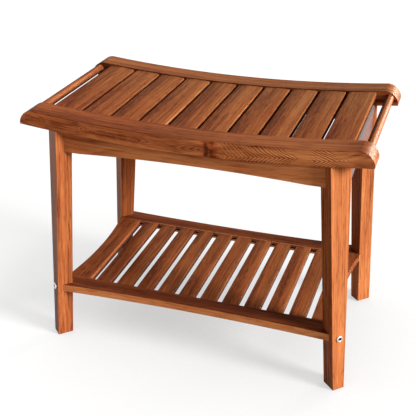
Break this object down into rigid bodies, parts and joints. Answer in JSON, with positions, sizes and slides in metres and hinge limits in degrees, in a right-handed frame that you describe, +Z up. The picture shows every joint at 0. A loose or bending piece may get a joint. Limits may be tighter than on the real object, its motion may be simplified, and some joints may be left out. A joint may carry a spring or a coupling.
{
  "type": "shower bench",
  "caption": "Slatted teak shower bench with a bowed seat, rolled-end rails, round handle bars at its ends, splayed tapered legs and a slatted lower shelf.",
  "frame": {"origin": "on the floor, at the centre of the rectangle that the bench covers", "axes": "+X along the bench's length, to the right for someone who looks at its front; +Y from the front to the back; +Z up"},
  "size_m": [0.61, 0.34, 0.4627],
  "materials": {
    "teak_rail": "oiled, satin",
    "teak_bar": "oiled, satin",
    "teak_slat": "oiled, satin",
    "teak_apron": "oiled, satin",
    "teak_leg": "oiled, satin",
    "teak_shelf": "oiled, satin",
    "teak_hidden": "sanded, matt",
    "dowel_wood": "fluted, matt",
    "steel": "satin stainless",
    "brass": "plain"
  },
  "bodies": {
    "root": {"top_rail_front": "teak_rail", "top_rail_back": "teak_rail", "handle_bar_left": "teak_bar", "handle_bar_right": "teak_bar", "seat_slat_01": "teak_slat", "seat_slat_02": "teak_slat", "seat_slat_03": "teak_slat", "seat_slat_04": "teak_slat", "seat_slat_05": "teak_slat", "seat_slat_06": "teak_slat", "seat_slat_07": "teak_slat", "seat_slat_08": "teak_slat", "seat_slat_09": "teak_slat", "seat_slat_10": "teak_slat", "seat_ledger_front": "teak_hidden", "seat_ledger_back": "teak_hidden", "apron_front": "teak_apron", "apron_back": "teak_apron", "apron_left": "teak_apron", "apron_right": "teak_apron", "leg_front_left": "teak_leg", "leg_front_right": "teak_leg", "leg_back_left": "teak_leg", "leg_back_right": "teak_leg", "corner_block_front_left": "teak_hidden", "corner_block_front_right": "teak_hidden", "corner_block_back_left": "teak_hidden", "corner_block_back_right": "teak_hidden", "shelf_rail_front": "teak_shelf", "shelf_rail_back": "teak_shelf", "shelf_end_left": "teak_shelf", "shelf_end_right": "teak_shelf", "shelf_slat_01": "teak_shelf", "shelf_slat_02": "teak_shelf", "shelf_slat_03": "teak_shelf", "shelf_slat_04": "teak_shelf", "shelf_slat_05": "teak_shelf", "shelf_slat_06": "teak_shelf", "shelf_slat_07": "teak_shelf", "shelf_slat_08": "teak_shelf", "shelf_slat_09": "teak_shelf", "shelf_slat_10": "teak_shelf", "shelf_bolts": "steel", "shelf_inserts": "brass", "leg_bolts": "steel", "leg_bolt_washers": "steel", "leg_inserts": "brass", "slat_screws": "steel", "ledger_screws": "steel", "block_screws": "steel", "rail_dowels": "dowel_wood"}
  },
  "joints": []
}
